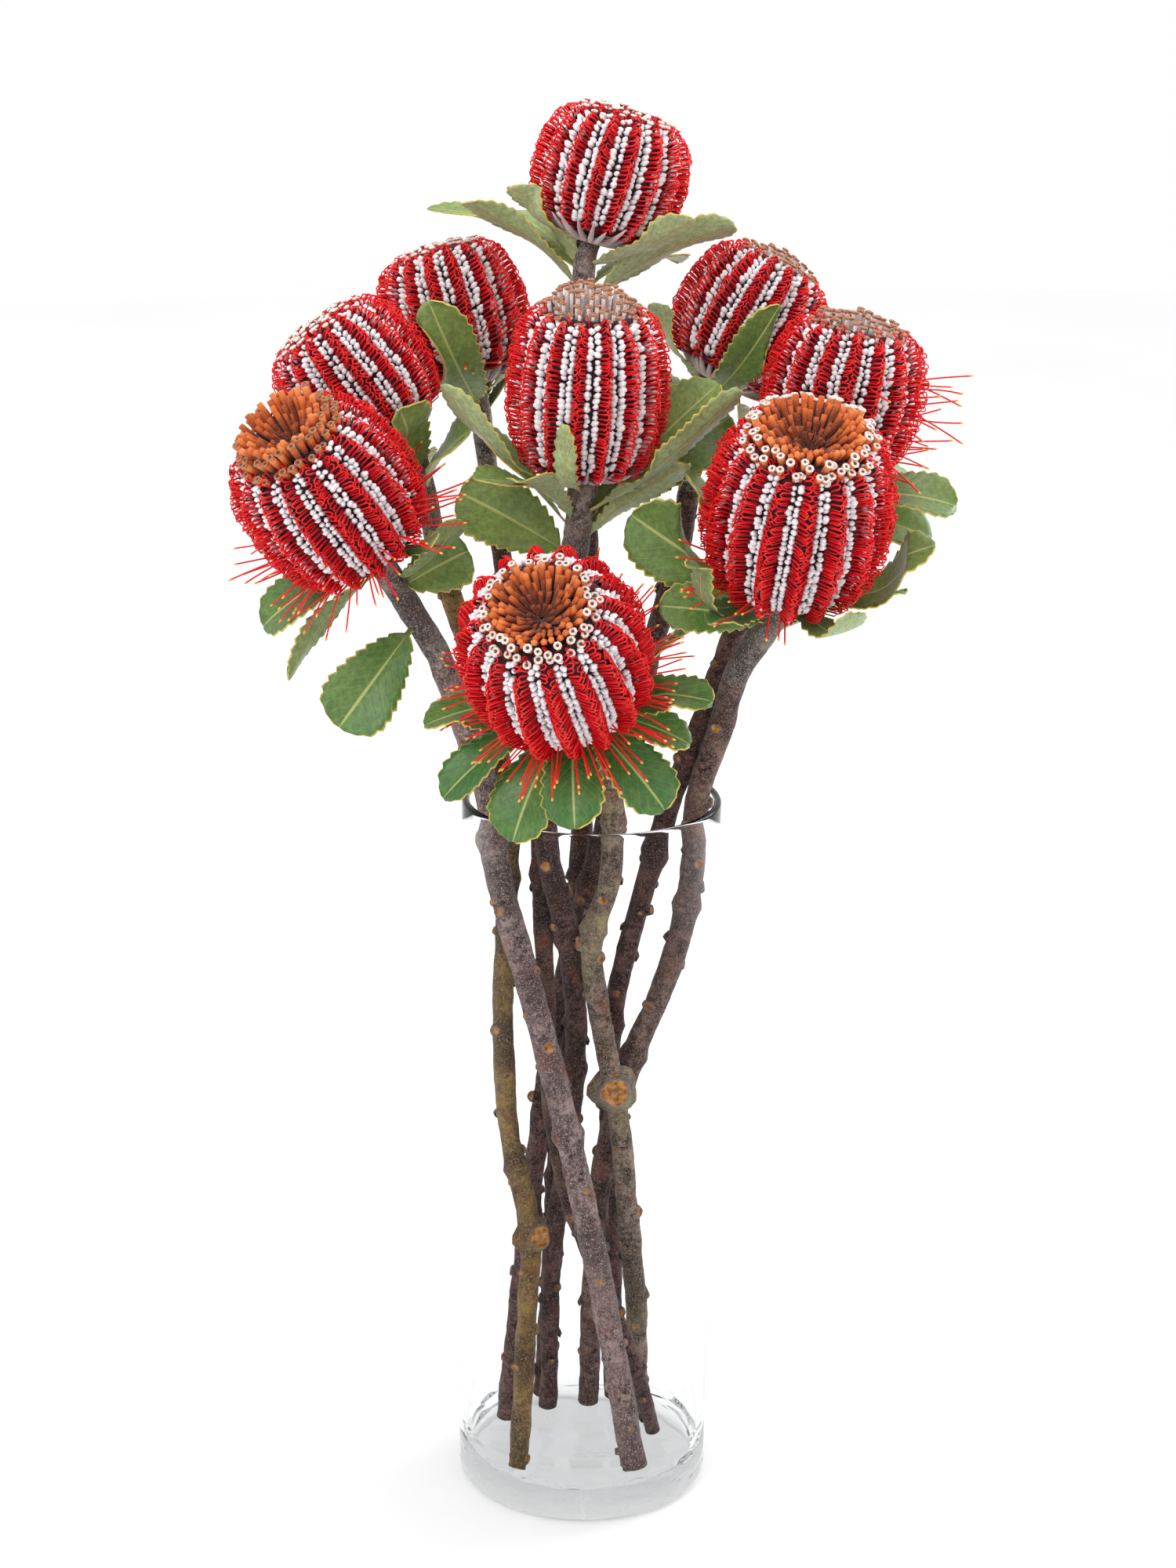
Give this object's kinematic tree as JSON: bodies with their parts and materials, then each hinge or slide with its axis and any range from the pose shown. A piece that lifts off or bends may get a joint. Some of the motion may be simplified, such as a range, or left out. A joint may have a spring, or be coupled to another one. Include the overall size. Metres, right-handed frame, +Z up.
{
  "type": "banksia flower bouquet in vase",
  "caption": "Cut scarlet banksia flowers with leaves on woody stems, standing in a clear glass cylinder vase.",
  "frame": {"origin": "centre of the underside of the vase", "axes": "+Z up along the vase, -Y towards the front of the bouquet, +X to the viewer's right"},
  "size_m": [0.3196, 0.259, 0.6641],
  "materials": {
    "vase_glass": "clear, polished",
    "stem_wood": "felted bark, matt",
    "leaf": "leathery, satin",
    "wool": "woolly, matt",
    "style": "glossy",
    "crown": "furry, matt"
  },
  "bodies": {
    "root": {"vase": "vase_glass", "stem_1": "stem_wood", "shoot_1": "leaf", "wool_1": "wool", "styles_1": "style", "crown_1": "crown", "stem_2": "stem_wood", "shoot_2": "leaf", "wool_2": "wool", "styles_2": "style", "crown_2": "crown", "stem_3": "stem_wood", "shoot_3": "leaf", "wool_3": "wool", "styles_3": "style", "crown_3": "crown", "stem_4": "stem_wood", "shoot_4": "leaf", "wool_4": "wool", "styles_4": "style", "crown_4": "crown", "stem_5": "stem_wood", "shoot_5": "leaf", "wool_5": "wool", "styles_5": "style", "crown_5": "crown", "stem_6": "stem_wood", "shoot_6": "leaf", "wool_6": "wool", "styles_6": "style", "crown_6": "crown", "stem_7": "stem_wood", "shoot_7": "leaf", "wool_7": "wool", "styles_7": "style", "crown_7": "crown", "stem_8": "stem_wood", "shoot_8": "leaf", "wool_8": "wool", "styles_8": "style", "crown_8": "crown", "stem_9": "stem_wood", "shoot_9": "leaf", "wool_9": "wool", "styles_9": "style", "crown_9": "crown"}
  },
  "joints": []
}
